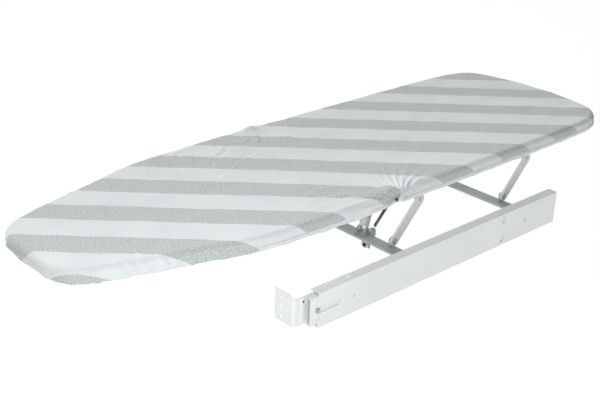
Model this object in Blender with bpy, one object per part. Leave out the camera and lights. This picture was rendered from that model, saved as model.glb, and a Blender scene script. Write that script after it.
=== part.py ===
"""Built-in folding ironing board on a pair of drawer slides, in metres, +Z up.

The nose points to -Y and +X is to the right. The origin is midway between the two cabinet
profiles, at their front ends and at their undersides. The board is unfolded and raised.
"""
import math

import bmesh
import bpy
from mathutils import Matrix, Vector

GAP = 0.0003

# Cabinet profiles and slides
HALF_WIDTH = 0.182
PROFILE_LENGTH = 0.480
PROFILE_HEIGHT = 0.048
PROFILE_DEPTH = 0.015
PROFILE_WALL = 0.0015
SLIDE_FRONT = -0.012
SLIDE_LENGTH = 0.447
SLIDE_LOW = 0.0052
SLIDE_HIGH = 0.0428
SLIDE_WALL = 0.0012
SLIDE_DEPTH = 0.0086
LIP_HEIGHT = 0.009
CAGE_FRONT = 0.170
CAGE_LENGTH = 0.120
STUD_Z = 0.0240

# Cross members and lifting arms
MEMBER_Y = (0.160, 0.391)
MEMBER_WIDTH = 0.018
MEMBER_TOP = 0.044
MEMBER_HEIGHT = 0.0035
MEMBER_WALL = 0.0015
PIVOT_SETBACK = 0.007
PIVOT_Z = 0.0515
ARM_X = 0.1465
ARM_THICK = 0.003
ARM_WIDTH = 0.014
ARM_LENGTH = 0.066
ARM_ANGLE = math.radians(46.4)
EAR_THICK = 0.0024
EAR_RADIUS = 0.0055
LUG_RADIUS = 0.0042
BRACKET_GAP = 0.0010
PIN_RADIUS = 0.0022
PIN_HOLE = 0.0025

# Spring rod and support prop
SPRING_X = 0.1065
SPRING_RADIUS = 0.0023
SPRING_START = 0.007
SPRING_END = 0.052
ROD_RADIUS = 0.0012
PROP_X = (0.088, 0.100)
PROP_PIVOT = (0.163, 0.0505)
PROP_LENGTH = 0.054
PROP_LEAN = math.radians(75)
STUD_X = 0.0965

# Board
FOLD_Y = 0.160
FOLD_Z = 0.1246
FOLD_GAP = 0.0026
COVER_LOW = 0.1075
COVER_TOP = 0.1240
COVER_THICK = 0.0015
PAD_LOW = 0.1163
PAD_INSET = 0.0018
CORE_LOW = 0.1080
CORE_TOP = 0.1160
CORE_WALL = 0.0012
CORE_INSET = 0.0030
KNUCKLE_RADIUS = 0.0022
LEAF_THICK = 0.0015
LEAF_X = 0.1402
# Half widths of the board from the nose to the rear end, as (half width, y).
OUTLINE = (
    (0.000, -0.2800), (0.046, -0.2785), (0.076, -0.2620), (0.092, -0.2250), (0.106, -0.1780),
    (0.122, -0.1180), (0.136, -0.0720), (0.143, -0.0300), (0.147, 0.0400), (0.149, 0.1500),
    (0.149, 0.4000), (0.1480, 0.5500), (0.1435, 0.6020), (0.1320, 0.6340), (0.1060, 0.6550),
    (0.056, 0.6655), (0.000, 0.6690),
)

# name: (red, green, blue, metallic, roughness)
COLOURS = {
    "white_paint": (0.80, 0.83, 0.83, 0.0, 0.38),
    "grey_paint": (0.42, 0.45, 0.45, 0.0, 0.42),
    "zinc": (0.62, 0.70, 0.70, 1.0, 0.30),
    "black_plastic": (0.02, 0.02, 0.022, 0.0, 0.45),
    "black_spring": (0.03, 0.03, 0.03, 0.6, 0.40),
    "felt": (0.78, 0.78, 0.74, 0.0, 0.95),
    "cotton": (0.66, 0.70, 0.70, 0.0, 0.90),
}


def material(name):
    """Return the Principled material of that name, made on first use."""
    found = bpy.data.materials.get(name)
    if found:
        return found
    made = bpy.data.materials.new(name)
    made.use_nodes = True
    red, green, blue, metallic, roughness = COLOURS[name]
    shader = made.node_tree.nodes["Principled BSDF"]
    shader.inputs["Base Color"].default_value = (red, green, blue, 1.0)
    shader.inputs["Metallic"].default_value = metallic
    shader.inputs["Roughness"].default_value = roughness
    made.diffuse_color = (red, green, blue, 1.0)
    return made


def add_object(name, shape, paint=None, origin=(0, 0, 0), smooth=False):
    """Turn a bmesh in world space into an object whose origin lies at the given point."""
    bmesh.ops.recalc_face_normals(shape, faces=shape.faces)
    shape.transform(Matrix.Translation(-Vector(origin)))
    mesh = bpy.data.meshes.new(name)
    shape.to_mesh(mesh)
    shape.free()
    made = bpy.data.objects.new(name, mesh)
    made.location = origin
    bpy.context.scene.collection.objects.link(made)
    if paint:
        mesh.materials.append(material(paint))
    if smooth:
        mesh.shade_smooth()
        mesh.set_sharp_from_angle(angle=math.radians(35))
    return made


def prism(points, axis, low, high):
    """Extrude an outline along an axis. The points are in the other two axes, in order."""
    shape = bmesh.new()
    slot = "XYZ".index(axis)
    corners = []
    for u, v in points:
        place = [u, v]
        place.insert(slot, low)
        corners.append(shape.verts.new(place))
    face = shape.faces.new(corners)
    moved = bmesh.ops.extrude_face_region(shape, geom=[face])["geom"]
    shift = Vector((0, 0, 0))
    shift[slot] = high - low
    bmesh.ops.translate(shape, vec=shift, verts=[v for v in moved if isinstance(v, bmesh.types.BMVert)])
    return shape


def box(low, high):
    """A box between two corners."""
    outline = [(low[0], low[1]), (high[0], low[1]), (high[0], high[1]), (low[0], high[1])]
    return prism(outline, "Z", low[2], high[2])


def arc(centre, radius, start, end, steps):
    """Points on an arc, with its angles in degrees."""
    turns = [math.radians(start + (end - start) * k / steps) for k in range(steps + 1)]
    return [(centre[0] + radius * math.cos(t), centre[1] + radius * math.sin(t)) for t in turns]


def circle(centre, radius, sides=16):
    """Points round a circle."""
    return arc(centre, radius, 0, 360 * (sides - 1) / sides, sides - 1)


def capsule(first, last, radius, steps=8):
    """A bar with round ends between two points."""
    lean = math.degrees(math.atan2(last[1] - first[1], last[0] - first[0]))
    return arc(last, radius, lean - 90, lean + 90, steps) + arc(first, radius, lean + 90, lean + 270, steps)


def turned(profile, centre, axis="X", sides=16):
    """Turn a profile of (distance along the axis, radius) pairs into a round solid."""
    shape = bmesh.new()
    rings = []
    for along, radius in profile:
        ring = []
        for k in range(sides):
            turn = 2 * math.pi * k / sides
            place = [centre[0] + radius * math.cos(turn), centre[1] + radius * math.sin(turn)]
            place.insert("XYZ".index(axis), along)
            ring.append(shape.verts.new(place))
        rings.append(ring)
    for one, two in zip(rings, rings[1:]):
        for k in range(sides):
            after = (k + 1) % sides
            shape.faces.new((one[k], one[after], two[after], two[k]))
    shape.faces.new(rings[0])
    shape.faces.new(rings[-1])
    return shape


def apply_shape(target, shape, operation):
    """Cut a shape from an object, or join it on, with a hidden helper object."""
    helper = add_object(f"{target.name}_{operation.lower()}_{len(target.modifiers)}", shape)
    helper.hide_render = True
    helper.display_type = "WIRE"
    change = target.modifiers.new(f"{operation.lower()}_{len(target.modifiers)}", "BOOLEAN")
    change.operation = operation
    change.solver = "EXACT"
    change.object = helper


def cut(target, *shapes):
    """Cut shapes from an object."""
    for shape in shapes:
        apply_shape(target, shape, "DIFFERENCE")


def join(target, *shapes):
    """Join shapes onto an object."""
    for shape in shapes:
        apply_shape(target, shape, "UNION")


def side_prism(points, side, near, far):
    """A prism along X between two distances from the middle, on the right (1) or left (-1)."""
    return prism(points, "X", *sorted((side * near, side * far)))


def side_name(side):
    """The name of a side."""
    return "right" if side > 0 else "left"


def cabinet_profile(side):
    """The C-shaped outer profile that is screwed to the cabinet wall, and its rear buffer."""
    outer = HALF_WIDTH
    web = outer - PROFILE_WALL
    lip = outer - PROFILE_DEPTH
    top = PROFILE_HEIGHT
    section = [(outer, 0), (outer, top), (lip, top), (lip, top - PROFILE_WALL), (web, top - PROFILE_WALL)]
    section += [(web, PROFILE_WALL), (lip, PROFILE_WALL), (lip, 0)]
    section = [(side * x, z) for x, z in section]
    body = prism(section, "Y", 0, PROFILE_LENGTH)
    profile = add_object(f"{side_name(side)}_cabinet_profile", body, "white_paint")
    catch_slot = [(-0.005, STUD_Z - 0.004), (-0.005, STUD_Z + 0.004)] + arc((0.0337, STUD_Z), 0.004, 90, -90, 8)
    outlines = [
        catch_slot,
        [(-0.005, 0.0095), (0.0028, 0.0095), (0.0028, 0.0185), (-0.005, 0.0185)],
        circle((0.061, 0.0232), 0.0026, 12),
        circle((0.357, 0.0385), 0.0050, 16),
        circle((0.357, 0.0095), 0.0050, 16),
        capsule((0.408, 0.0210), (0.408, 0.0255), 0.0015, 5),
        circle((0.4350, 0.0238), 0.0023, 12),
    ]
    for outline in outlines:
        cut(profile, side_prism(outline, side, web - 0.002, outer + 0.002))
    for y in (0.018, 0.057):
        hole = circle((side * (outer - 0.0095), y), 0.0025, 12)
        cut(profile, prism(hole, "Z", top - PROFILE_WALL - 0.001, top + 0.002))
    low = (lip + 0.003, PROFILE_LENGTH - 0.011, PROFILE_WALL + GAP)
    high = (web - GAP, PROFILE_LENGTH - 0.001, top - PROFILE_WALL - GAP)
    outline = [(low[1], low[2]), (high[1], low[2]), (high[1], high[2]), (low[1], high[2])]
    add_object(f"{side_name(side)}_rear_buffer", side_prism(outline, side, low[0], high[0]), "black_plastic")


def ball_cage(side, level):
    """One strip of bearing balls in its cage, above or below the slide rail."""
    if level == "upper":
        low, high = SLIDE_HIGH + 0.0004, PROFILE_HEIGHT - PROFILE_WALL - 0.0004
    else:
        low, high = PROFILE_WALL + 0.0004, SLIDE_LOW - 0.0004
    middle = (low + high) / 2
    strip_half = 0.0009
    outline = [(CAGE_FRONT, middle - strip_half), (CAGE_FRONT + CAGE_LENGTH, middle - strip_half)]
    outline += [(CAGE_FRONT + CAGE_LENGTH, middle + strip_half), (CAGE_FRONT, middle + strip_half)]
    centre = HALF_WIDTH - PROFILE_WALL - 0.005
    name = f"{side_name(side)}_{level}_ball_cage"
    cage = add_object(name, side_prism(outline, side, centre - 0.0035, centre + 0.0035), "zinc")
    radius = (high - low) / 2
    for k in range(6):
        ball = bmesh.new()
        place = Vector((side * centre, CAGE_FRONT + 0.010 + 0.020 * k, middle))
        bmesh.ops.create_uvsphere(ball, u_segments=8, v_segments=6, radius=radius, matrix=Matrix.Translation(place))
        join(cage, ball)


def slide_rail(side):
    """The lipped moving rail that runs inside the cabinet profile, and its catch stud."""
    outer = HALF_WIDTH - PROFILE_WALL - 0.0004
    inner = outer - SLIDE_DEPTH
    wall = SLIDE_WALL
    low, high = SLIDE_LOW, SLIDE_HIGH
    section = [(outer, low), (outer, high), (inner, high), (inner, high - LIP_HEIGHT)]
    section += [(inner + wall, high - LIP_HEIGHT), (inner + wall, high - wall), (outer - wall, high - wall)]
    section += [(outer - wall, low + wall), (inner + wall, low + wall), (inner + wall, low + LIP_HEIGHT)]
    section += [(inner, low + LIP_HEIGHT), (inner, low)]
    section = [(side * x, z) for x, z in section]
    shape = prism(section, "Y", SLIDE_FRONT, SLIDE_FRONT + SLIDE_LENGTH)
    rail = add_object(f"{side_name(side)}_slide_rail", shape, "white_paint")
    cut(rail, side_prism(circle((0, STUD_Z), 0.0020 + GAP, 12), side, outer - 0.004, outer + 0.002))
    profile = [(outer - wall - 0.0016, 0.0034), (outer - wall - GAP, 0.0034), (outer - wall - GAP, 0.0020)]
    profile += [(outer + GAP, 0.0020), (outer + GAP, 0.0036), (outer + 0.0016, 0.0036), (outer + 0.0022, 0.0022)]
    profile = [(side * x, radius) for x, radius in profile]
    add_object(f"{side_name(side)}_catch_stud", turned(profile, (0, STUD_Z)), "zinc", smooth=True)
    return inner


def front_bracket(side, rail_inner):
    """The bent plate that carries the drawer front, with its fixing screw."""
    outer = rail_inner - GAP
    plate = 0.0016
    bend = 0.004
    front = -0.0312
    tip = 0.1375
    corner = (outer - bend, front + bend)
    outline = arc(corner, bend, 0, -90, 5) + [(tip, front), (tip, front + plate)]
    outline += arc(corner, bend - plate, -90, 0, 4) + [(outer - plate, 0.040), (outer, 0.040)]
    outline = [(side * x, y) for x, y in outline]
    bracket = add_object(f"{side_name(side)}_front_bracket", prism(outline, "Z", 0.0070, 0.0490), "white_paint")
    web_edge = [(-0.040, 0.060), (-0.040, 0.0445), (0.050, 0.0445), (0.050, 0.060)]
    cut(bracket, side_prism(web_edge, side, outer - plate - 0.0005, outer + 0.002))
    slope = [(0.1585, 0.060), (0.1585, 0.0492)] + arc((0.1725, 0.0580), 0.0135, 222, 265, 5) + [(0.175, 0.060)]
    cut(bracket, prism([(side * x, z) for x, z in slope], "Y", front - 0.002, -0.0205))
    for low, high in ((0.0395, 0.0395), (0.0240, 0.0310), (0.0135, 0.0135)):
        radius = 0.0016 if high > low else 0.0026
        hole = capsule((side * 0.1485, low), (side * 0.1485, high + 1e-5), radius, 6)
        cut(bracket, prism(hole, "Y", front - 0.002, front + plate + 0.002))
    cut(bracket, side_prism(circle((-0.0175, 0.0365), 0.0019, 12), side, outer - 0.004, outer + 0.002))
    head = outer - plate - GAP
    profile = [(outer + GAP, 0.0016), (head, 0.0016), (head, 0.0036), (head - 0.0012, 0.0034), (head - 0.0020, 0.0018)]
    profile = [(side * x, radius) for x, radius in profile]
    add_object(f"{side_name(side)}_bracket_screw", turned(profile, (-0.0175, 0.0365)), "zinc", smooth=True)


def cross_member(name, centre, end):
    """An upside-down channel that ties the two moving rails together."""
    half = MEMBER_WIDTH / 2
    low = MEMBER_TOP - MEMBER_HEIGHT
    inner = half - MEMBER_WALL
    section = [(-half, low), (-half, MEMBER_TOP), (half, MEMBER_TOP), (half, low), (inner, low)]
    section += [(inner, MEMBER_TOP - MEMBER_WALL), (-inner, MEMBER_TOP - MEMBER_WALL), (-inner, low)]
    section = [(centre + y, z) for y, z in section]
    add_object(name, prism(section, "X", -end, end), "grey_paint")


def lower_pivot(side, place, pivot_y):
    """An ear on a cross member and the pin that an arm turns on."""
    base = MEMBER_TOP + GAP
    inner = ARM_X - ARM_THICK / 2 - GAP - EAR_THICK
    outline = [(pivot_y - EAR_RADIUS, base)] + arc((pivot_y, PIVOT_Z), EAR_RADIUS, 180, 0, 10)
    outline += [(pivot_y + EAR_RADIUS, base)]
    plate = side_prism(outline, side, inner, inner + EAR_THICK)
    ear = add_object(f"{side_name(side)}_{place}_pivot_ear", plate, "grey_paint")
    cut(ear, side_prism(circle((pivot_y, PIVOT_Z), PIN_HOLE), side, inner - 0.002, inner + 0.006))
    outer = ARM_X + ARM_THICK / 2 + GAP
    head = 0.0040
    profile = [(inner - GAP - 0.0012, head), (inner - GAP, head), (inner - GAP, PIN_RADIUS), (outer, PIN_RADIUS)]
    profile += [(outer, head), (outer + 0.0010, head), (outer + 0.0018, PIN_RADIUS)]
    profile = [(side * x, radius) for x, radius in profile]
    shape = turned(profile, (pivot_y, PIVOT_Z))
    add_object(f"{side_name(side)}_{place}_pivot_pin", shape, "zinc", (0, pivot_y, PIVOT_Z), smooth=True)


def upper_pivot_place(pivot_y):
    """Where an arm meets the board."""
    return pivot_y + ARM_LENGTH * math.cos(ARM_ANGLE), PIVOT_Z + ARM_LENGTH * math.sin(ARM_ANGLE)


def lifting_arm(side, place, pivot_y):
    """One flat arm between a cross member and the board."""
    low = (pivot_y, PIVOT_Z)
    high = upper_pivot_place(pivot_y)
    near = ARM_X - ARM_THICK / 2
    shape = side_prism(capsule(low, high, ARM_WIDTH / 2), side, near, near + ARM_THICK)
    arm = add_object(f"{side_name(side)}_{place}_arm", shape, "white_paint", (0, *low))
    for centre in (low, high):
        cut(arm, side_prism(circle(centre, PIN_HOLE), side, near - 0.002, near + ARM_THICK + 0.002))


def upper_pivot(side, place, pivot_y):
    """A bracket under the board that holds a pivot rod."""
    y, z = upper_pivot_place(pivot_y)
    top = CORE_TOP - CORE_WALL - GAP
    inner = ARM_X - ARM_THICK / 2 - BRACKET_GAP - EAR_THICK
    outline = [(y + EAR_RADIUS, top)] + arc((y, z), EAR_RADIUS, 0, -180, 10) + [(y - EAR_RADIUS, top)]
    shape = side_prism(outline, side, inner, inner + EAR_THICK)
    bracket = add_object(f"{side_name(side)}_{place}_board_bracket", shape, "white_paint")
    cut(bracket, side_prism(circle((y, z), PIN_HOLE), side, inner - 0.002, inner + 0.006))


def pivot_rod(place, pivot_y):
    """The rod that joins a pair of arms under the board."""
    y, z = upper_pivot_place(pivot_y)
    end = ARM_X + ARM_THICK / 2 + 0.0010
    shape = turned([(-end, PIN_RADIUS), (end, PIN_RADIUS)], (y, z))
    add_object(f"{place}_pivot_rod", shape, "zinc", (0, y, z), smooth=True)


def spring_rod(pivot_y):
    """The rod beside the prop, hinged with the front arms, and the coil spring round it."""
    low = Vector((SPRING_X, pivot_y, PIVOT_Z))
    along = Vector((0, math.cos(ARM_ANGLE), math.sin(ARM_ANGLE)))
    turn = along.to_track_quat("Z", "Y").to_matrix().to_4x4()
    eye = 0.0042
    near = SPRING_X - 0.001
    rod = add_object("spring_rod", prism(circle((pivot_y, PIVOT_Z), eye), "X", near, near + 0.002), "zinc", low)
    high = upper_pivot_place(pivot_y)
    stem = turned([(eye - 0.001, ROD_RADIUS), (ARM_LENGTH - eye + 0.001, ROD_RADIUS)], (0, 0), "Z", 10)
    stem.transform(Matrix.Translation(low) @ turn)
    join(rod, prism(circle(high, eye), "X", near, near + 0.002), stem)
    for centre in ((pivot_y, PIVOT_Z), high):
        cut(rod, prism(circle(centre, PIN_HOLE), "X", near - 0.002, near + 0.004))
    sleeve = turned([(SPRING_START, SPRING_RADIUS), (SPRING_END, SPRING_RADIUS)], (0, 0), "Z", 12)
    sleeve.transform(Matrix.Translation(low) @ turn)
    spring = add_object("coil_spring", sleeve, "black_spring", low, smooth=True)
    bore = turned([(0, ROD_RADIUS + GAP), (ARM_LENGTH, ROD_RADIUS + GAP)], (0, 0), "Z", 10)
    bore.transform(Matrix.Translation(low) @ turn)
    cut(spring, bore)


def spring_lug(pivot_y):
    """A lug on the front cross member that the spring rod's lower eye hangs on, and its pin."""
    near = SPRING_X + 0.001 + GAP
    base = MEMBER_TOP + GAP
    outline = [(pivot_y - LUG_RADIUS, base)] + arc((pivot_y, PIVOT_Z), LUG_RADIUS, 180, 0, 8)
    outline += [(pivot_y + LUG_RADIUS, base)]
    lug = add_object("spring_lug", prism(outline, "X", near, near + 0.002), "grey_paint")
    cut(lug, prism(circle((pivot_y, PIVOT_Z), PIN_HOLE), "X", near - 0.002, near + 0.004))
    profile = [(near - 0.0038, 0.0034), (near - 0.0026, 0.0034)]
    profile += [(near - 0.0026, PIN_RADIUS), (near + 0.0028, PIN_RADIUS)]
    add_object("spring_pin", turned(profile, (pivot_y, PIVOT_Z)), "zinc", smooth=True)


def support_prop():
    """The prop that stands on the front cross member, its foot, its pin and the buffer stud."""
    y, z = PROP_PIVOT
    low, high = PROP_X
    rear = MEMBER_Y[0] + MEMBER_WIDTH / 2 + GAP
    base = MEMBER_TOP + GAP
    plate = box((low - 0.002, y - 0.008, base), (high + 0.002, rear + 0.0015, base + 0.0013))
    foot = add_object("prop_foot", plate, "grey_paint")
    tab = box((low - 0.001, rear, 0.0215), (high + 0.0015, rear + 0.0015, base + 0.001))
    ear = [(y - 0.004, base)] + arc((y, z), 0.004, 180, 0, 8) + [(y + 0.004, base)]
    join(foot, tab, prism(ear, "X", low - 0.002, low - 0.0005), prism(ear, "X", high + 0.0005, high + 0.002))
    cut(foot, prism(circle((y, z), 0.0017, 12), "X", low - 0.004, high + 0.004))
    cut(foot, prism(circle((STUD_X, 0.0270), 0.0030, 14), "Y", rear - 0.002, rear + 0.004))
    profile = [(low - 0.0026, 0.0014), (high + 0.0026, 0.0014)]
    add_object("prop_pin", turned(profile, PROP_PIVOT, sides=12), "zinc", smooth=True)

    along = (math.cos(PROP_LEAN), math.sin(PROP_LEAN))
    across = (math.sin(PROP_LEAN), -math.cos(PROP_LEAN))

    def place(u, v):
        return y + along[0] * u + across[0] * v, z + along[1] * u + across[1] * v

    web = [place(0.005, 0.0026), place(PROP_LENGTH, 0.0030), place(PROP_LENGTH, 0.0044), place(0.005, 0.0040)]
    side_plate = [place(-0.0028, -0.0030), place(-0.0028, 0.0034), place(PROP_LENGTH, 0.0040)]
    side_plate.append(place(PROP_LENGTH, -0.0040))
    prop = add_object("support_prop", prism(side_plate, "X", high - 0.0016, high), "white_paint", (0, y, z))
    join(prop, prism(side_plate, "X", low, low + 0.0016), prism(web, "X", low + 0.0008, high - 0.0008))
    cut(prop, prism(circle((y, z), 0.0017, 12), "X", low - 0.002, high + 0.002))

    ring = [(rear - 0.0045, 0.0044), (rear - GAP, 0.0044), (rear - GAP, 0.0027), (rear + 0.0040, 0.0027)]
    stud = add_object("buffer_stud", turned(ring, (STUD_X, 0.0270), "Y"), "zinc", smooth=True)
    cut(stud, turned([(rear - 0.010, 0.0026), (rear - 0.0015, 0.0026)], (STUD_X, 0.0270), "Y"))
    shape = [(rear - 0.0050, 0.0018), (rear - 0.0045, 0.0023), (rear - 0.0018, 0.0023)]
    plug = turned(shape, (STUD_X, 0.0270), "Y")
    add_object("buffer_plug", plug, "black_plastic", smooth=True)


def board_outline(inset):
    """The right half of the board's outline from nose to rear, drawn in by a distance."""
    points = [Vector(p) for p in OUTLINE]
    first = Vector((-points[1].x, points[1].y))
    last = Vector((-points[-2].x, points[-2].y))
    padded = [first] + points + [last]
    smooth = []
    for p0, p1, p2, p3 in zip(padded, padded[1:], padded[2:], padded[3:]):
        steps = 2 if (p2 - p1).length < 0.1 else 1
        for k in range(steps):
            t = k / steps
            bend = (p2 - p0) * t + (2 * p0 - 5 * p1 + 4 * p2 - p3) * t * t + (3 * p1 - p0 - 3 * p2 + p3) * t ** 3
            smooth.append(p1 + bend / 2)
    smooth.append(points[-1])
    drawn = []
    for k, point in enumerate(smooth):
        before = smooth[max(k - 1, 0)]
        after = smooth[min(k + 1, len(smooth) - 1)]
        run = (after - before).normalized()
        if k in (0, len(smooth) - 1):
            run = Vector((1, 0)) if k == 0 else Vector((-1, 0))
        inward = Vector((-run.y, run.x))
        drawn.append(point + inward * inset)
    return drawn


def half_board(part, inset, low, high, reach=0.0):
    """A slab of the rear or front half, which may reach past the fold to make a cutter."""
    right = board_outline(inset)
    if part == "rear":
        edge = FOLD_Y + FOLD_GAP - reach
        kept = [p for p in right if p.y > edge + 0.004]
        width = right[0].x
        before = [p for p in right if p.y <= edge + 0.004][-1]
        share = (edge - before.y) / (kept[0].y - before.y)
        width = before.x + (kept[0].x - before.x) * share
        path = [Vector((width, edge))] + kept
    else:
        edge = FOLD_Y - FOLD_GAP + reach
        kept = [p for p in right if p.y < edge - 0.004]
        after = [p for p in right if p.y >= edge - 0.004][0]
        share = (edge - kept[-1].y) / (after.y - kept[-1].y)
        width = kept[-1].x + (after.x - kept[-1].x) * share
        path = kept + [Vector((width, edge))]
    left = [Vector((-p.x, p.y)) for p in reversed(path) if p.x > 1e-6]
    return prism([tuple(p) for p in path + left], "Z", low, high)


def board_half(part):
    """The core tray, the felt pad and the cotton cover of one half of the board."""
    core = add_object(f"{part}_core", half_board(part, CORE_INSET, CORE_LOW, CORE_TOP), "white_paint")
    cut(core, half_board(part, CORE_INSET + CORE_WALL, CORE_LOW - 0.002, CORE_TOP - CORE_WALL, 0.003))
    rows = (0.235, 0.305, 0.375, 0.515, 0.585) if part == "rear" else (0.095, 0.025, -0.045, -0.115, -0.185)
    for y in rows:
        for x in (-0.090, -0.030, 0.030, 0.090):
            if part == "front" and y < -0.15 and abs(x) > 0.05:
                continue
            cut(core, prism(circle((x, y), 0.009, 10), "Z", CORE_TOP - 0.004, CORE_TOP + 0.002))
    pad_top = COVER_TOP - COVER_THICK - GAP
    add_object(f"{part}_pad", half_board(part, PAD_INSET, PAD_LOW, pad_top), "felt")
    cover = add_object(f"{part}_cover", half_board(part, 0, COVER_LOW, COVER_TOP), "cotton")
    cut(cover, half_board(part, COVER_THICK, COVER_LOW - 0.002, COVER_TOP - COVER_THICK, 0.003))


def fold_hinge(side):
    """The two leaves of one fold hinge, whose pin lies level with the cover's top, and the pin."""
    axis = (FOLD_Y, FOLD_Z)
    stem_low = 0.1100
    arm_high = 0.1142
    for part, way, near in (("rear", 1, LEAF_X), ("front", -1, LEAF_X - LEAF_THICK - GAP)):
        front, middle, end = (FOLD_Y + way * reach for reach in (0.0005, 0.0021, 0.030))
        outline = [(front, FOLD_Z), (front, stem_low), (end, stem_low)]
        outline += [(end, arm_high), (middle, arm_high), (middle, FOLD_Z)]
        shape = side_prism(outline, side, near, near + LEAF_THICK)
        leaf = add_object(f"{side_name(side)}_{part}_hinge_leaf", shape, "zinc", (0, *axis))
        join(leaf, side_prism(circle(axis, KNUCKLE_RADIUS, 14), side, near, near + LEAF_THICK))
        cut(leaf, side_prism(circle(axis, 0.0013, 12), side, near - 0.002, near + 0.004))
    profile = [(side * (LEAF_X - LEAF_THICK - 0.0012), 0.0010), (side * (LEAF_X + LEAF_THICK + 0.0008), 0.0010)]
    pin = turned(profile, axis, sides=12)
    add_object(f"{side_name(side)}_hinge_pin", pin, "black_plastic", (0, *axis), smooth=True)


def main():
    """Clear the scene and build every piece."""
    for old in list(bpy.data.objects):
        bpy.data.objects.remove(old, do_unlink=True)
    rail_inner = 0.0
    for side in (1, -1):
        cabinet_profile(side)
        for level in ("upper", "lower"):
            ball_cage(side, level)
        rail_inner = slide_rail(side)
        front_bracket(side, rail_inner)
        fold_hinge(side)
    for place, centre in zip(("front", "rear"), MEMBER_Y):
        cross_member(f"{place}_cross_member", centre, rail_inner - GAP)
        pivot_y = centre + PIVOT_SETBACK
        for side in (1, -1):
            lower_pivot(side, place, pivot_y)
            lifting_arm(side, place, pivot_y)
            upper_pivot(side, place, pivot_y)
        pivot_rod(place, pivot_y)
    spring_rod(MEMBER_Y[0] + PIVOT_SETBACK)
    spring_lug(MEMBER_Y[0] + PIVOT_SETBACK)
    support_prop()
    for part in ("rear", "front"):
        board_half(part)


main()
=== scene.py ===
"""Looks of the built-in folding ironing board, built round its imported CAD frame, in metres.

The nose points to -Y and +X is to the right, as in the frame.
"""
import math

import bmesh
import bpy
import numpy as np
from mathutils import Matrix, Vector


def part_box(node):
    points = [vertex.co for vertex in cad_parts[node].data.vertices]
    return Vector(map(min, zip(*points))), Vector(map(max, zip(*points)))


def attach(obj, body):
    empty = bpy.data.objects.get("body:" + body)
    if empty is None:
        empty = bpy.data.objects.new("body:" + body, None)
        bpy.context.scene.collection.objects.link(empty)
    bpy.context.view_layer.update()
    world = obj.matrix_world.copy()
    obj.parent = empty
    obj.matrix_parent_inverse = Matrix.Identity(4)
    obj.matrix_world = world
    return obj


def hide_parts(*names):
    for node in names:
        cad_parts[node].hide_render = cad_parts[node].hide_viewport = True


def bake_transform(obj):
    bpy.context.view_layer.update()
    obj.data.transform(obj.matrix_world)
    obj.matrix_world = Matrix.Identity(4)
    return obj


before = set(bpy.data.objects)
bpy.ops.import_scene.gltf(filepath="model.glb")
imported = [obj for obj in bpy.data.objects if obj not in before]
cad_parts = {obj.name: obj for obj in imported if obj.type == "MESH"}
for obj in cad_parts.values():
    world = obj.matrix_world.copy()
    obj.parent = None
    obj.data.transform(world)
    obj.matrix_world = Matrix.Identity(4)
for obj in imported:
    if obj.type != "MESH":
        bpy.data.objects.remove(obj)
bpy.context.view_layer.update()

# Camera, fitted to the photograph's perspective with the slides held at 364 mm across and the board level
CAMERA_PLACE = (0.9717, -0.7746, 0.6703)
CAMERA_YAW = math.radians(46.94)
CAMERA_PITCH = math.radians(24.37)
CAMERA_ROLL = math.radians(1.934)
CAMERA_LENS = 63.73

# Board, from the CAD cover's halves
COVER_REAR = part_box("rear_cover")
COVER_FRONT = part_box("front_cover")
TOP = COVER_REAR[1].z
LOW = COVER_REAR[0].z
FOLD_Y = (COVER_REAR[0].y + COVER_FRONT[1].y) / 2
# Half widths of the board from the nose to the rear end, as (half width, y).
OUTLINE = (
    (0.000, -0.2800), (0.046, -0.2785), (0.076, -0.2620), (0.092, -0.2250), (0.106, -0.1780),
    (0.122, -0.1180), (0.136, -0.0720), (0.143, -0.0300), (0.147, 0.0400), (0.149, 0.1500),
    (0.149, 0.4000), (0.1480, 0.5500), (0.1435, 0.6020), (0.1320, 0.6340), (0.1060, 0.6550),
    (0.056, 0.6655), (0.000, 0.6690),
)

# Printed stripes, along the cloth: period, slope, start, dark share and softness of the edges
STRIPE_PERIOD = 0.124
STRIPE_SLANT = 1.10
STRIPE_START = -0.1596
STRIPE_DARK = 0.485
STRIPE_SOFT = 0.006

# Small rounds on the sheet metal
EDGE_ROUND_WIDTH = 0.0003
ROUNDED_NODES = ("cabinet_profile", "slide_rail", "front_bracket", "_arm", "cross_member", "support_prop")
EDGE_ROUND_ANGLE = math.radians(40)
WELD_REACH = 0.00001

# Cover
OUTLINE_STEPS = 640
TOP_STEPS = 72
SPINE_FRONT = -0.205
SPINE_REAR = 0.560
EDGE_ROUND = 0.0085
COVER_TOP = TOP - 0.0004
RELIEF = 1.4
HEM_TUCK = 0.012
BRACKET_TUCK = 0.0021
TUCK_Z = LOW - 0.0020
PINCH = (0.1600, 0.1640)
PINCH_REACH = 0.056
PINCH_SHIFT = 0.015
PINCH_TURN = 0.022
HEM_START = 0.0172
HEM_FRONT = -0.060

# Pleats running into the pinch: (angle in degrees, width in degrees, height, reach), lengths in metres.
PLEATS = (
    (-82, 2.4, 0.0022, 0.100), (-74, 2.0, 0.0022, 0.130), (-65, 2.0, 0.0020, 0.090), (-54, 2.4, 0.0022, 0.080),
    (-41, 2.8, 0.0018, 0.060), (-27, 3.0, 0.0018, 0.055), (-14, 2.4, 0.0020, 0.060), (-3, 2.0, 0.0024, 0.072),
    (7, 1.8, 0.0022, 0.070), (17, 2.2, 0.0025, 0.076), (28, 1.8, 0.0026, 0.080), (39, 2.2, 0.0022, 0.082),
    (50, 1.8, 0.0025, 0.086), (61, 2.2, 0.0022, 0.074), (72, 2.0, 0.0018, 0.064), (82, 2.4, 0.0016, 0.050),
)
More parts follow.
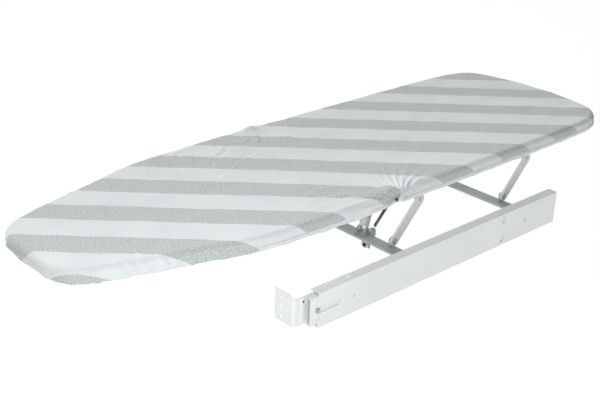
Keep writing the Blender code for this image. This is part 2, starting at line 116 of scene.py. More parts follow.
# Creases, as (start x, start y, end x, end y, half width, height), in metres.
CREASES = (
    (-0.133, 0.1800, -0.058, 0.1790, 0.0022, 0.0010), (-0.128, 0.1730, -0.085, 0.1740, 0.0020, 0.0007),
    (-0.126, 0.1560, -0.088, 0.1260, 0.0030, 0.0009), (-0.112, 0.0880, -0.090, 0.0460, 0.0030, 0.0011),
    (-0.090, 0.0460, -0.068, 0.0150, 0.0028, 0.0007), (-0.053, 0.0700, -0.052, 0.1460, 0.0026, 0.0011),
    (-0.036, 0.0450, -0.053, 0.0720, 0.0024, 0.0008), (-0.125, 0.0060, -0.133, 0.0550, 0.0030, 0.0009),
    (-0.096, -0.0200, -0.062, -0.0260, 0.0026, 0.0008), (-0.118, -0.1100, -0.086, -0.1130, 0.0026, 0.0007),
    (-0.054, -0.0120, -0.046, 0.0240, 0.0026, 0.0007), (-0.058, 0.1950, -0.054, 0.2720, 0.0028, 0.0008),
    (-0.050, 0.2400, -0.034, 0.2860, 0.0026, 0.0006), (-0.018, 0.0080, -0.034, 0.0460, 0.0030, 0.0007),
    (-0.108, 0.1200, -0.122, 0.0900, 0.0026, 0.0008), (-0.138, 0.0200, -0.114, 0.0020, 0.0022, 0.0008),
    (0.104, 0.0340, 0.119, 0.1160, 0.0036, 0.0013), (0.086, -0.0050, 0.100, 0.0400, 0.0034, 0.0007),
    (0.082, 0.0620, 0.098, 0.1300, 0.0034, 0.0009), (0.106, 0.1900, 0.118, 0.2300, 0.0030, 0.0008),
    (0.062, 0.1000, 0.080, 0.1420, 0.0032, 0.0007), (-0.020, 0.1250, 0.020, 0.1500, 0.0034, 0.0005),
    (0.010, -0.1600, 0.030, -0.1250, 0.0034, 0.0005), (0.094, -0.1900, 0.068, -0.1840, 0.0020, 0.0011),
    (0.110, -0.2020, 0.086, -0.2090, 0.0022, 0.0014), (0.106, -0.2170, 0.084, -0.2210, 0.0020, 0.0012),
    (0.118, -0.1860, 0.098, -0.1950, 0.0020, 0.0012), (0.122, -0.1650, 0.094, -0.1740, 0.0024, 0.0013),
    (0.128, -0.1520, 0.110, -0.1590, 0.0020, 0.0009), (-0.116, -0.1660, -0.098, -0.1560, 0.0026, 0.0013),
    (-0.112, -0.1560, -0.096, -0.1480, 0.0022, 0.0009), (0.136, 0.3900, 0.120, 0.4020, 0.0026, 0.0006),
    (-0.118, 0.1420, -0.104, 0.1100, 0.0016, 0.0008), (-0.104, 0.1480, -0.072, 0.1540, 0.0016, 0.0006),
    (-0.126, 0.0740, -0.104, 0.0700, 0.0016, 0.0008), (-0.084, 0.0720, -0.070, 0.0420, 0.0016, 0.0007),
    (-0.130, 0.2200, -0.112, 0.2060, 0.0018, 0.0007), (-0.128, 0.2420, -0.104, 0.2260, 0.0018, 0.0005),
    (-0.122, -0.0400, -0.098, -0.0520, 0.0018, 0.0007), (-0.076, -0.0420, -0.070, -0.0120, 0.0016, 0.0005),
    (0.060, 0.0300, 0.092, 0.1200, 0.0020, 0.0006), (0.124, 0.0500, 0.128, 0.1100, 0.0018, 0.0008),
    (0.138, 0.5200, 0.122, 0.5310, 0.0026, 0.0006), (-0.136, 0.3400, -0.120, 0.3520, 0.0026, 0.0005),
)
FAR_PLEAT_ANGLES = (-62, -34, -10, 16, 40, 68)
HEM_ROLL = 0.002

# Felt pads, as (share of the outline, share of the height) from the underside to the crown
PAD_INSET = 0.0030
PAD_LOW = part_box("rear_pad")[0].z
PAD_HIGH = COVER_TOP - 0.0022
PAD_LAYERS = (
    (0.55, 0.0), (0.9940, 0.0), (1.0, 0.25), (1.0, 0.45), (0.994, 0.66), (0.982, 0.80), (0.960, 0.88),
    (0.92, 0.925), (0.80, 0.96), (0.60, 0.98), (0.35, 1.0),
)

SIDES = ((1, "right"), (-1, "left"))

# Spring, stops and small trim. A section is a row of (distance along the axis, radius) points.
SPRING_COIL = 0.0018
SPRING_WIRE = 0.00042
SPRING_PITCH = 0.00105
SPRING_STEPS_A_TURN = 14
STOP_SECTION = ((0.0, 0.0022), (0.0014, 0.0022), (0.0020, 0.0018), (0.0023, 0.0011), (0.0022, 0.0006))
STOP_PLACE = (0.1482, 0.1640, 0.1128)
RIVET_SECTION = ((0.0, 0.0013), (0.0006, 0.0013), (0.0008, 0.0009))
RIVET_Z = 0.0385
RIB_Y = -0.0165
RIB_Z = 0.0270
RIB_SIZE = (0.036, 0.0062, 0.0011)
BUFFER_SECTION = ((0.0, 0.0031), (0.0010, 0.0031), (0.0018, 0.0026), (0.0021, 0.0014))
BUFFER_SINK = 0.0004
STRIP_LAYERS = ((1.0, 0.0), (1.0, 0.55), (0.975, 0.82), (0.92, 0.95), (0.80, 1.0), (0.30, 1.06))
PROP_LEAN = math.radians(75)
PROP_HALF = 0.0036
PROP_PLATE_UP = 0.028
PROP_PLATE_SIZE = (0.047, 0.012, 0.0009)

# Studio
FLOOR_Z = -0.90
FLOOR_SIZE = 30
FLOOR_GLOW = 0.36
WORLD_GLOW = 0.24
KEY_SOURCE = (-1.7, 0.2, 1.15)
KEY_STRENGTH = 2.35
KEY_SPREAD = math.radians(22)
FILL_PLACE = (0.85, -0.60, 0.80)
FILL_AIM = (0, -0.25, 0.1)
FILL_ENERGY = 9.5
FILL_SIZE = 0.5


# ---------------------------------------------------------------- shader helpers

class Nodes:
    """A short way to build a material's node tree."""

    def __init__(self, name):
        self.material = bpy.data.materials.new(name)
        self.material.use_nodes = True
        self.tree = self.material.node_tree
        self.shader = self.tree.nodes["Principled BSDF"]

    def add(self, kind, inputs=None, **settings):
        node = self.tree.nodes.new(kind)
        for key, value in settings.items():
            setattr(node, key, value)
        for key, value in (inputs or {}).items():
            self.put(node.inputs[key], value)
        return node

    def put(self, socket, value):
        if isinstance(value, bpy.types.NodeSocket):
            self.tree.links.new(value, socket)
        elif isinstance(value, bpy.types.Node):
            self.tree.links.new(value.outputs[0], socket)
        else:
            socket.default_value = value

    def math(self, operation, *values, clamp=False):
        node = self.add("ShaderNodeMath", operation=operation, use_clamp=clamp)
        for k, value in enumerate(values):
            self.put(node.inputs[k], value)
        return node.outputs[0]

    def noise(self, vector, scale, detail=3.0, rough=0.5):
        settings = {"Vector": vector, "Scale": scale, "Detail": detail, "Roughness": rough}
        return self.add("ShaderNodeTexNoise", settings).outputs["Fac"]

    def threads(self, vector, scale, direction):
        settings = {"Vector": vector, "Scale": scale, "Distortion": 1.5, "Detail": 1.0, "Detail Scale": 3.0}
        return self.add("ShaderNodeTexWave", settings, bands_direction=direction).outputs["Fac"]

    def ramp(self, value, stops):
        node = self.add("ShaderNodeValToRGB", {"Fac": value})
        ramp = node.color_ramp
        while len(ramp.elements) < len(stops):
            ramp.elements.new(0.5)
        for element, (place, colour) in zip(ramp.elements, stops):
            element.position = place
            element.color = (*colour, 1.0)
        return node.outputs["Color"]

    def mix(self, share, one, two, blend="MIX"):
        node = self.add("ShaderNodeMix", data_type="RGBA", blend_type=blend)
        self.put(node.inputs[0], share)
        for key, value in ((6, one), (7, two)):
            if isinstance(value, tuple):
                value = (*value, 1.0)
            self.put(node.inputs[key], value)
        return node.outputs[2]

    def bump(self, height, strength, distance, below=None):
        node = self.add("ShaderNodeBump", {"Height": height, "Strength": strength, "Distance": distance})
        if below is not None:
            self.put(node.inputs["Normal"], below)
        return node.outputs["Normal"]

    def object_place(self):
        return self.add("ShaderNodeTexCoord").outputs["Object"]

    def finish(self, **inputs):
        for key, value in inputs.items():
            self.put(self.shader.inputs[key.replace("_", " ")], value)
        return self.material


def painted_metal(name, colour, dark, rough=0.38, grain=0.25):
    """Powder coat: a fine orange peel, slight clouding, and a duller, darker bloom here and there."""
    made = Nodes(name)
    place = made.object_place()
    cloud = made.noise(place, 9.0, 4.0, 0.55)
    peel = made.noise(place, 900.0, 2.0, 0.6)
    speck = made.noise(place, 3200.0, 1.0, 0.5)
    tint = made.ramp(cloud, [(0.30, dark), (0.70, colour)])
    tint = made.mix(made.math("MULTIPLY", speck, 0.10), tint, tuple(c * 0.78 for c in dark))
    gloss = made.math("MULTIPLY_ADD", cloud, 0.14, rough - 0.07)
    normal = made.bump(peel, grain, 0.0002)
    return made.finish(Base_Color=tint, Roughness=gloss, Normal=normal)


def zinc_plate(name, colour=(0.55, 0.64, 0.63), rough=0.30):
    """Bright zinc with fine drawn scratches and a cloudy passivation tint."""
    made = Nodes(name)
    place = made.object_place()
    cloud = made.noise(place, 160.0, 3.0, 0.5)
    scratch = made.add("ShaderNodeMapping", {"Vector": place, "Scale": (300.0, 4000.0, 4000.0)})
    lines = made.noise(scratch.outputs[0], 1.0, 2.0, 0.6)
    tint = made.ramp(cloud, [(0.3, tuple(c * 0.75 for c in colour)), (0.7, colour)])
    gloss = made.math("MULTIPLY_ADD", lines, 0.22, rough - 0.08)
    return made.finish(Base_Color=tint, Metallic=0.85, Roughness=gloss, Normal=made.bump(lines, 0.12, 0.0001))


def moulded_plastic(name, colour, rough=0.45):
    """Matt moulded plastic with a spark-eroded grain."""
    made = Nodes(name)
    place = made.object_place()
    grain = made.noise(place, 1800.0, 2.0, 0.5)
    cloud = made.noise(place, 60.0, 2.0, 0.5)
    tint = made.ramp(cloud, [(0.3, colour), (0.7, tuple(min(1.0, c * 1.5 + 0.004) for c in colour))])
    gloss = made.math("MULTIPLY_ADD", grain, 0.2, rough - 0.1)
    return made.finish(Base_Color=tint, Roughness=gloss, Normal=made.bump(grain, 0.3, 0.00015))


def felt(name):
    """Needled polyester felt."""
    made = Nodes(name)
    place = made.object_place()
    fibre = made.noise(place, 700.0, 5.0, 0.7)
    cloud = made.noise(place, 25.0, 3.0, 0.5)
    tint = made.ramp(cloud, [(0.3, (0.60, 0.60, 0.56)), (0.7, (0.76, 0.76, 0.72))])
    return made.finish(Base_Color=tint, Roughness=0.95, Normal=made.bump(fibre, 0.6, 0.0012))


def striped_cotton(name):
    """Woven cotton with broad printed diagonal stripes, one cool white and one grey-green melange."""
    made = Nodes(name)
    place = made.add("ShaderNodeUVMap", uv_map="flat_cloth").outputs["UV"]
    parts = made.add("ShaderNodeSeparateXYZ", {"Vector": place})
    x, y = parts.outputs["X"], parts.outputs["Y"]
    wander = made.math("MULTIPLY_ADD", made.noise(place, 9.0, 2.0, 0.5), 0.006, -0.003)
    fringe = made.math("MULTIPLY_ADD", made.noise(place, 420.0, 2.0, 0.5), 0.0016, -0.0008)
    along = made.math("SUBTRACT", y, made.math("MULTIPLY", x, STRIPE_SLANT))
    along = made.math("ADD", along, made.math("ADD", wander, fringe))
    phase = made.math("DIVIDE", made.math("SUBTRACT", along, STRIPE_START), STRIPE_PERIOD)
    rise = made.math("FRACT", phase)
    slope = 0.5 / STRIPE_SOFT
    past_dark = made.math("MULTIPLY_ADD", made.math("SUBTRACT", rise, STRIPE_DARK), slope, 0.5, clamp=True)
    past_start = made.math("MULTIPLY_ADD", rise, slope, 0.5, clamp=True)
    before_end = made.math("MULTIPLY_ADD", made.math("SUBTRACT", 1.0, rise), slope, 0.5, clamp=True)
    light = made.math("MULTIPLY", past_dark, before_end)
    light = made.math("MAXIMUM", light, made.math("SUBTRACT", 1.0, past_start))

    threads = made.math("MULTIPLY", made.threads(place, 210.0, "X"), made.threads(place, 190.0, "Y"))
    slub = made.noise(place, 330.0, 4.0, 0.65)
    melange = made.noise(place, 460.0, 4.0, 0.85)
    cloud = made.noise(place, 14.0, 3.0, 0.5)

    white = made.ramp(cloud, [(0.3, (0.69, 0.725, 0.74)), (0.7, (0.75, 0.785, 0.795))])
    grey_low = made.ramp(melange, [(0.39, (0.328, 0.368, 0.368)), (0.59, (0.62, 0.66, 0.658))])
    white = made.mix(made.math("MULTIPLY", slub, 0.16), white, (0.50, 0.54, 0.55))
    tint = made.mix(light, grey_low, white)
    tint = made.mix(made.math("MULTIPLY", threads, 0.12), tint, (0.42, 0.46, 0.46))
    normal = made.bump(threads, 0.35, 0.00025)
    normal = made.bump(slub, 0.30, 0.0006, below=normal)
    return made.finish(Base_Color=tint, Roughness=0.92, Sheen_Weight=0.15, Sheen_Roughness=0.5, Normal=normal)


WHITE = painted_metal("white_powder_coat", (0.84, 0.865, 0.865), (0.78, 0.81, 0.81))
GREY = painted_metal("grey_powder_coat", (0.36, 0.385, 0.385), (0.30, 0.325, 0.325))
ARM_PAINT = painted_metal("arm_powder_coat", (0.66, 0.69, 0.685), (0.58, 0.61, 0.605))
ZINC = zinc_plate("zinc_plate")
BLACK = moulded_plastic("black_plastic", (0.012, 0.012, 0.013))
SPRING = moulded_plastic("black_oxide_wire", (0.014, 0.014, 0.014), 0.35)
FELT = felt("grey_felt")
COTTON = striped_cotton("striped_cotton")
HEM_COTTON = felt("hem_binding")
# The finish of a CAD node goes by the first of these parts that its name holds; the rest are zinc.
NODE_FINISHES = (
    ("cabinet_profile", WHITE), ("slide_rail", WHITE), ("front_bracket", WHITE), ("_core", WHITE),
    ("_arm", ARM_PAINT), ("board_bracket", ARM_PAINT), ("support_prop", ARM_PAINT), ("buffer_stud", ARM_PAINT),
    ("cross_member", GREY), ("_ear", GREY), ("spring_lug", GREY), ("prop_foot", GREY),
    ("hinge_pin", BLACK), ("rear_buffer", BLACK), ("buffer_plug", BLACK),
    ("_pad", FELT), ("_cover", COTTON), ("coil_spring", SPRING),
)


def soften_edges(name, piece):
    """A small round on folded sheet-metal edges, so they catch light."""
    if not any(part in name for part in ROUNDED_NODES):
        return
    weld = piece.modifiers.new("joined_faces", "WELD")
    weld.merge_threshold = WELD_REACH
    edge = piece.modifiers.new("soft_edges", "BEVEL")
    edge.width = EDGE_ROUND_WIDTH
    edge.segments = 2
    edge.limit_method = "ANGLE"
    edge.angle_limit = EDGE_ROUND_ANGLE
    edge.harden_normals = True


def node_finish(name):
    """The finish of a CAD node, from the first part of a name in NODE_FINISHES that it holds."""
    for part, finish in NODE_FINISHES:
        if part in name:
            return finish
    return ZINC


def paint_cad_nodes():
    """Give each CAD node the finish of its piece, and a small round on its sheet-metal edges."""
    for name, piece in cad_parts.items():
        piece.data.materials.clear()
        piece.data.materials.append(node_finish(name))
        soften_edges(name, piece)


# ---------------------------------------------------------------- cover

def smooth_outline():
    """The board's right half outline from nose to rear as a dense smooth path of (half width, y)."""
    points = [Vector(p) for p in OUTLINE]
    first = Vector((-points[1].x, points[1].y))
    last = Vector((-points[-2].x, points[-2].y))
    padded = [first] + points + [last]
    path = []
    for p0, p1, p2, p3 in zip(padded, padded[1:], padded[2:], padded[3:]):
        for k in range(24):
            t = k / 24
            bend = (p2 - p0) * t + (2 * p0 - 5 * p1 + 4 * p2 - p3) * t * t
            bend += (3 * p1 - p0 - 3 * p2 + p3) * t ** 3
            path.append(p1 + bend / 2)
    path.append(points[-1])
    return np.array([tuple(p) for p in path])


def resample(path, count, dense=0.0):
    """The path at count places along it, evenly spaced, or closer together at the fold if dense is above 0."""
    step = np.linalg.norm(np.diff(path, axis=0), axis=1)
    run = np.concatenate(([0], np.cumsum(step)))
    middle_y = (path[1:, 1] + path[:-1, 1]) / 2
    crowding = 1 + dense * np.exp(-(((middle_y - FOLD_Y) / 0.075) ** 2))
    weight = np.concatenate(([0], np.cumsum(step * crowding)))
    at = np.interp(np.linspace(0, weight[-1], count), weight, run)
    return np.stack([np.interp(at, run, path[:, 0]), np.interp(at, run, path[:, 1])], 1)


def outward_normals(path):
    """Unit normals pointing out of the right half outline, straight along Y at the two ends."""
    along = np.gradient(path, axis=0)
    along[0] = (1, 0)
    along[-1] = (-1, 0)
    normal = np.stack([along[:, 1], -along[:, 0]], 1)
    return normal / np.linalg.norm(normal, axis=1)[:, None]


def smooth_step(value, low, high):
    """0 up to low, 1 from high, with a smooth rise between."""
    t = np.clip((value - low) / (high - low), 0, 1)
    return t * t * (3 - 2 * t)


def tuck_depth(y):
    """How far the hem reaches under the board, shorter where the arms' brackets pass it."""
    depth = np.full_like(y, HEM_TUCK)
    for name in ("right_front_board_bracket", "right_rear_board_bracket"):
        low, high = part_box(name)
        middle = (low.y + high.y) / 2
        depth -= (HEM_TUCK - BRACKET_TUCK) * (1 - smooth_step(abs(y - middle), 0.012, 0.026))
    return depth


def edge_profile():
    """The edge's section as (share of the tuck, inward distance, height, cloth distance past the top)."""
    section = []
    for k in range(9):
        turn = math.radians(90 * k / 8)
        inward = EDGE_ROUND * (1 - math.sin(turn))
        drop = EDGE_ROUND * (1 - math.cos(turn))
        section.append((0.0, inward, COVER_TOP - drop, EDGE_ROUND * turn))
    wall_top = COVER_TOP - EDGE_ROUND
    wall_low = TUCK_Z + HEM_ROLL
    run = section[-1][3]
    for k in range(1, 6):
        z = wall_top + (wall_low - wall_top) * k / 5
        section.append((0.0, 0.0, z, run + wall_top - z))
    run = section[-1][3]
    for k in range(1, 5):
        turn = math.radians(90 * k / 4)
        inward = HEM_ROLL * (1 - math.cos(turn))
        section.append((0.0, inward, wall_low - HEM_ROLL * math.sin(turn), run + HEM_ROLL * turn))
    run = section[-1][3]
    for k in range(1, 6):
        section.append((k / 5, HEM_ROLL, TUCK_Z, run))
    return section


def cloth_grid():
    """Places and unrolled cloth places of the whole cover's right half, row by row."""
    path = resample(smooth_outline(), OUTLINE_STEPS, 1.8)
    normal = outward_normals(path)
    spine = np.stack([np.zeros(len(path)), np.clip(path[:, 1], SPINE_FRONT, SPINE_REAR)], 1)
    tuck = tuck_depth(path[:, 1])
    shoulder = path - normal * EDGE_ROUND
    rows, flats = [], []
    for k in range(TOP_STEPS):
        share = 1 - (1 - k / TOP_STEPS) ** 1.25
        level = spine + (shoulder - spine) * share
        rows.append(np.column_stack([level, np.full(len(path), COVER_TOP)]))
        flats.append(level)
    for share, inward, z, run in edge_profile():
        reach = share * (tuck - HEM_ROLL)
        place = path - normal * (inward + reach)[:, None]
        rows.append(np.column_stack([place, np.full(len(path), z)]))
        flats.append(shoulder + normal * (run + reach)[:, None])
    return np.array(rows), np.array(flats)


def wave_noise(u, v, seed, size):
    """Smooth deterministic unevenness from a few crossed sine waves."""
    maker = np.random.default_rng(seed)
    total = np.zeros_like(u)
    for _ in range(14):
        turn = maker.uniform(0, 2 * math.pi)
        wave = 2 * math.pi / (size * maker.uniform(0.6, 1.8))
        total += np.sin(wave * (u * math.cos(turn) + v * math.sin(turn)) + maker.uniform(0, 6.28))
    return total / 14 ** 0.5


def crease_height(u, v):
    """Sharp-crested folds along each crease, fading at its ends."""
    height = np.zeros_like(u)
    for x0, y0, x1, y1, width, rise in CREASES:
        along = np.array([x1 - x0, y1 - y0])
        length = np.linalg.norm(along)
        along = along / length
        run = (u - x0) * along[0] + (v - y0) * along[1]
        bow = 0.10 * length * np.sin(np.clip(run / length, 0, 1) * math.pi)
        side = (v - y0) * along[0] - (u - x0) * along[1] - bow
        fade = smooth_step(run, -0.004, length * 0.35) * (1 - smooth_step(run, length * 0.6, length + 0.004))
        ridge = np.exp(-np.abs(side) / width) - 0.55 * np.exp(-((side - 1.9 * width) / (1.3 * width)) ** 2)
        height += rise * fade * ridge
    return height


def pinch_height(u, v):
    """Pleats that run into the pinch, and the hollow it pulls in the cloth."""
    du, dv = PINCH[0] - u, v - PINCH[1]
    far = np.hypot(du, dv) + 1e-9
    angle = np.degrees(np.arctan2(dv, du))
    height = -0.0018 * np.exp(-(far / 0.012) ** 2)
    for middle, width, rise, reach in PLEATS:
        curve = middle + (far / 0.05) * 7 * math.copysign(1, middle)
        spread = width * (1 + 0.006 / (far + 0.004))
        ridge = np.exp(-np.abs(angle - curve) / spread)
        trough = 0.4 * np.exp(-np.abs(angle - curve - 2.4 * spread) / spread)
        height += rise * (ridge - trough) * smooth_step(far, 0.002, 0.012) * np.exp(-(far / reach) ** 2 * 1.6)
    return height


def far_pinch_height(u, v):
    """The small gather at the fold's far end."""
    du, dv = u + PINCH[0], v - PINCH[1]
    far = np.hypot(du, dv) + 1e-9
    angle = np.degrees(np.arctan2(dv, du))
    height = -0.0012 * np.exp(-(far / 0.010) ** 2)
    for middle in FAR_PLEAT_ANGLES:
        ridge = np.exp(-np.abs(angle - middle) / 4.5)
        height += 0.0010 * ridge * smooth_step(far, 0.003, 0.012) * np.exp(-(far / 0.038) ** 2)
    return height


def knuckle_height(u, v):
    """The cloth rises over the two hinge knuckles."""
    height = np.zeros_like(u)
    for name in ("right_hinge_pin", "left_hinge_pin"):
        low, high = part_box(name)
        du = (u - (low.x + high.x) / 2) / 0.0085
        dv = (v - (low.y + high.y) / 2) / 0.0095
        height += 0.0040 * np.exp(-(du * du + dv * dv))
    return height


def cloth_height(u, v, past):
    """How far the cloth stands off its smooth stretched shape."""
    height = crease_height(u, v) + pinch_height(u, v) + far_pinch_height(u, v)
    height += 0.00022 * wave_noise(u, v, 3, 0.055) + 0.00008 * wave_noise(u, v, 5, 0.016)
    edge = smooth_step(past, 0.004, 0.018)
    gathers = wave_noise(v, u * 0.3, 11, 0.011)
    height += edge * 0.00040 * gathers * (0.3 + 0.7 * smooth_step(-v, 0.02, 0.20))
    hem = 0.0007 * smooth_step(past, 0.0168, 0.0178) * (1 - smooth_step(past, 0.0235, 0.0250))
    return RELIEF * height * (1 - 0.7 * smooth_step(past, 0.024, 0.030)) + hem + knuckle_height(u, v)


def pattern_place(u, v, past):
    """Where the printed stripes fall: the pinch gathers the cloth, so they bend towards it."""
    du, dv = PINCH[0] - u, v - PINCH[1]
    far = np.hypot(du, dv)
    share = np.clip(np.degrees(np.arctan2(dv, np.maximum(du, 1e-4))) / 90, -1, 1)
    gathered = v + (PINCH_SHIFT + PINCH_TURN * share) * np.exp(-far / PINCH_REACH)
    plain_band = (past > HEM_START) & (v > HEM_FRONT) & (v < 0.62)
    banded = (gathered - STRIPE_START - STRIPE_PERIOD * (STRIPE_DARK + 1) / 2) / STRIPE_SLANT
    return np.where(plain_band, banded, u), gathered


def grid_normals(places):
    """Unit directions out of the cloth grid."""
    across = np.gradient(places, axis=0)
    along = np.gradient(places, axis=1)
    normal = np.cross(across, along)
    length = np.linalg.norm(normal, axis=2)
    length[length < 1e-12] = 1
    normal = normal / length[:, :, None]
    normal[:3] = (0, 0, 1)
    top = TOP_STEPS // 2
    if normal[top, normal.shape[1] // 2, 2] < 0:
        normal = -normal
    return normal


def mesh_object(name, vertices, faces, finish):
    """An object from plain vertex and face lists."""
    mesh = bpy.data.meshes.new(name)
    mesh.from_pydata([tuple(v) for v in vertices], [], faces)
    mesh.update()
    mesh.materials.append(finish)
    mesh.shade_smooth()
    made = bpy.data.objects.new(name, mesh)
    bpy.context.scene.collection.objects.link(made)
    return made


def strip_faces(rows, columns, start=0, turned=False, closed=False):
    """Quads over a grid of rows by columns vertices."""
    faces = []
    last = columns if closed else columns - 1
    for r in range(rows - 1):
        for c in range(last):
            d = (c + 1) % columns
            quad = (start + r * columns + c, start + (r + 1) * columns + c,
                    start + (r + 1) * columns + d, start + r * columns + d)
            faces.append(quad[::-1] if turned else quad)
    return faces


def make_cover():
    """One stretched cotton sheet over both halves, creased where the board folds."""
    places, flats = cloth_grid()
    rows, columns = places.shape[:2]
    past_run = [0.0] * TOP_STEPS + [run for _, _, _, run in edge_profile()]
    past = np.repeat(np.array(past_run)[:, None], columns, 1)
    normal = grid_normals(places)
    vertices, pattern, faces = [], [], []
    for sign in (1, -1):
        u, v = flats[:, :, 0] * sign, flats[:, :, 1]
        shift = cloth_height(u, v, past)[:, :, None] * normal
        side = (places + shift) * (sign, 1, 1)
        pu, pv = pattern_place(u, v, past)
        faces += strip_faces(rows, columns, len(vertices), turned=sign < 0)
        vertices += side.reshape(-1, 3).tolist()
        pattern += np.stack([pu, pv], 2).reshape(-1, 2).tolist()
    cover = mesh_object("ironing_cover", vertices, faces, COTTON)
    weld_halves(cover, pattern)
    blend_over_fold(cover)
    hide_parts("rear_cover", "front_cover")
    return cover, flats


def weld_halves(cover, pattern):
    """Join the cover's two halves into one sheet and give it its pattern's UV map."""
    shape = bmesh.new()
    shape.from_mesh(cover.data)
    flat_layer = shape.verts.layers.float_vector.new("flat")
    for vertex, (pu, pv) in zip(shape.verts, pattern):
        vertex[flat_layer] = (pu, pv, 0)
    bmesh.ops.remove_doubles(shape, verts=shape.verts, dist=2e-5)
    uv = shape.loops.layers.uv.new("flat_cloth")
    for face in shape.faces:
        for loop in face.loops:
            loop[uv].uv = loop.vert[flat_layer][:2]
    shape.verts.layers.float_vector.remove(shape.verts.layers.float_vector["flat"])
    shape.to_mesh(cover.data)
    shape.free()
    cover.data.shade_smooth()


def blend_over_fold(piece):
    """Bake a piece's placement into its mesh."""
    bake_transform(piece)


# ---------------------------------------------------------------- felt pads

def board_loop(inset, low_y, high_y):
    """The board's outline moved in by inset, cut to low_y..high_y, as a closed loop."""
    path = resample(smooth_outline(), 240)
    path = path - outward_normals(path) * inset
    right = [(x, y) for x, y in path if low_y <= y <= high_y]
    if low_y > path[0, 1]:
        right.insert(0, (np.interp(low_y, path[:, 1], path[:, 0]), low_y))
    if high_y < path[-1, 1]:
        right.append((np.interp(high_y, path[:, 1], path[:, 0]), high_y))
    return right + [(-x, y) for x, y in reversed(right)]


def make_pad(name, node, body):
    """A felt pad with a soft rounded edge and a slight crown."""
    low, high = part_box(node)
    low_y = low.y if node == "rear_pad" else -1.0
    high_y = high.y if node == "front_pad" else 1.0
    loop = np.array(board_loop(PAD_INSET, low_y, high_y))
    centre = np.array([0.0, (low.y + high.y) / 2])
    rise = PAD_HIGH - PAD_LOW
    vertices = []
    for share, lift in PAD_LAYERS:
        for point in loop:
            x, y = centre + (point - centre) * share
            soft = 0.00025 * math.sin(x * 170) * math.cos(y * 140) * lift
            vertices.append((x, y, PAD_LOW + rise * lift + soft))
    count = len(loop)
    faces = strip_faces(len(PAD_LAYERS), count, closed=True)
    faces.append(tuple(range(count)))
    top = (len(PAD_LAYERS) - 1) * count
    faces.append(tuple(reversed(range(top, top + count))))
    pad = mesh_object(name, vertices, faces, FELT)
    shape = bmesh.new()
    shape.from_mesh(pad.data)
    bmesh.ops.remove_doubles(shape, verts=shape.verts, dist=1e-6)
    bmesh.ops.recalc_face_normals(shape, faces=shape.faces)
    shape.to_mesh(pad.data)
    shape.free()
    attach(pad, body)
    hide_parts(node)


# ---------------------------------------------------------------- hem, spring and small trim

def tube(name, centres, radii, finish, sides=10, closed=False):
    """A round tube along centres, with a radius at each point."""
    centres = [Vector(c) for c in centres]
    count = len(centres)
    vertices = []
    for k, centre in enumerate(centres):
        ahead = centres[(k + 1) % count] if closed or k + 1 < count else centre
        behind = centres[k - 1] if closed or k > 0 else centre
        along = (ahead - behind).normalized()
        side = along.cross(Vector((0, 0, 1)))
        side = side.normalized() if side.length > 1e-6 else Vector((1, 0, 0))
        up = side.cross(along)
        for j in range(sides):
            turn = 2 * math.pi * j / sides
            vertices.append(centre + (side * math.cos(turn) + up * math.sin(turn)) * radii[k])
    faces = []
    for k in range(count if closed else count - 1):
        nxt = (k + 1) % count
        for j in range(sides):
            i = (j + 1) % sides
            faces.append((k * sides + j, k * sides + i, nxt * sides + i, nxt * sides + j))
    if not closed:
        faces.append(tuple(reversed(range(sides))))
        faces.append(tuple(range((count - 1) * sides, count * sides)))
    return mesh_object(name, vertices, faces, finish)


def make_hem():
    """The gathered elastic casing at the cover's inner edge, under the board."""
    path = resample(smooth_outline(), 900)
    tuck = tuck_depth(path[:, 1])
    inner = path - outward_normals(path) * tuck[:, None]
    full = smooth_step(tuck, BRACKET_TUCK, HEM_TUCK)
    radius = 0.0004 + 0.0011 * full
    gather = 1 + 0.16 * wave_noise(path[:, 1], path[:, 0], 21, 0.009)
    right = [(x, y, TUCK_Z + 0.0002) for x, y in inner]
    left = [(-x, y, z) for x, y, z in reversed(right[1:-1])]
    radii = list(radius * gather)
    radii += radii[1:-1][::-1]
    hem = tube("cover_hem", right + left, radii, HEM_COTTON, closed=True)
    blend_over_fold(hem)
    return hem


def box_middle(node):
    """The middle of a CAD node's box."""
    low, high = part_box(node)
    return (low + high) / 2


def make_spring():
    """The close-wound spring on its rod, as a real helix."""
    front_pivot = box_middle("spring_pin")
    low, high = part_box("coil_spring")
    middle = (low + high) / 2
    axis = Vector((0, middle.y - front_pivot.y, middle.z - front_pivot.z)).normalized()
    reach = (high.y - low.y - 2 * SPRING_COIL * abs(axis.z)) / abs(axis.y)
    side = Vector((1, 0, 0))
    up = axis.cross(side)
    turns = reach / SPRING_PITCH
    steps = int(turns * SPRING_STEPS_A_TURN)
    centres = []
    for k in range(steps + 1):
        share = k / steps
        turn = 2 * math.pi * turns * share
        spot = middle + axis * (share - 0.5) * reach
        centres.append(spot + (side * math.cos(turn) + up * math.sin(turn)) * SPRING_COIL)
    spring = tube("wound_spring", centres, [SPRING_WIRE] * len(centres), SPRING, sides=8)
    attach(spring, "front_arms")
    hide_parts("coil_spring")


def turned_piece(name, section, place, axis, finish, body, steps=28):
    """A small round piece from (distance along the axis, radius) points."""
    turn = Vector((0, 0, 1)).rotation_difference(Vector(axis)).to_matrix()
    vertices, faces = [], []
    for along, radius in section:
        for k in range(steps):
            angle = 2 * math.pi * k / steps
            spot = Vector((radius * math.cos(angle), radius * math.sin(angle), along))
            vertices.append(turn @ spot + Vector(place))
    faces += strip_faces(len(section), steps, turned=True, closed=True)
    faces.append(tuple(reversed(range(steps))))
    faces.append(tuple(range((len(section) - 1) * steps, len(section) * steps)))
    made = mesh_object(name, vertices, faces, finish)
    made.data.set_sharp_from_angle(angle=math.radians(35))
    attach(made, body)
    return made


